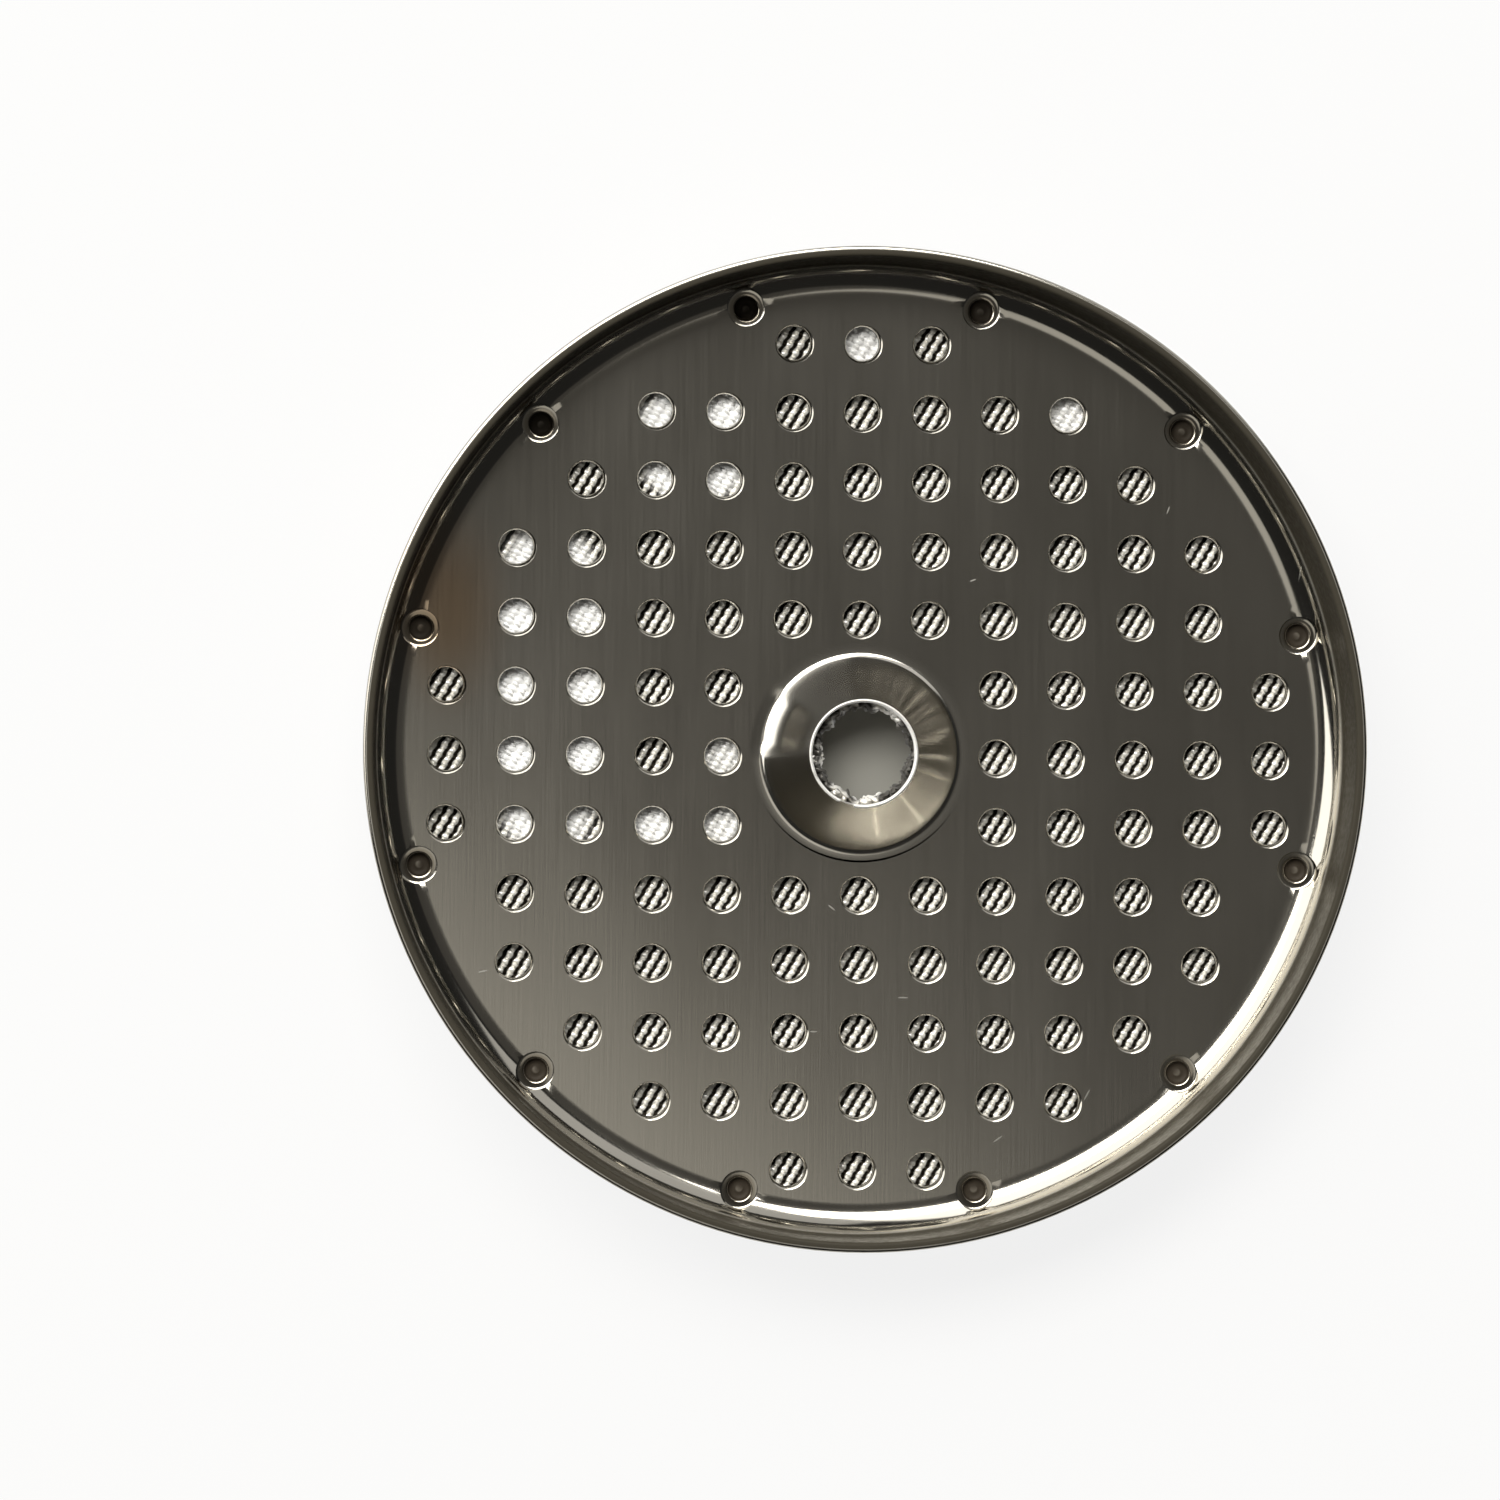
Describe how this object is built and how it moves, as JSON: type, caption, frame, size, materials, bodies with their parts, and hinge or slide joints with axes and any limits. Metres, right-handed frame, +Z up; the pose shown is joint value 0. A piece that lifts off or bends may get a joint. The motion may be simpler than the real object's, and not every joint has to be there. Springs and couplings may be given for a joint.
{
  "type": "espresso shower screen",
  "caption": "Round stainless steel shower screen for an espresso machine: a perforated pan with an upturned rim and a raised screw cone, welded over a woven wire mesh.",
  "frame": {"origin": "middle of the face it rests on, the underside of the wire mesh", "axes": "+Z up, from the coffee side to the group side; +Y towards the top of the picture; +X to its right"},
  "size_m": [0.0576, 0.0576, 0.007],
  "materials": {
    "pressed_steel": "satin floor with a faint straight grain, bright rim bend and cone",
    "steel_wire": "bright drawn wire"
  },
  "bodies": {
    "root": {"perforated_pan": "pressed_steel", "woven_mesh": "steel_wire"}
  },
  "joints": []
}
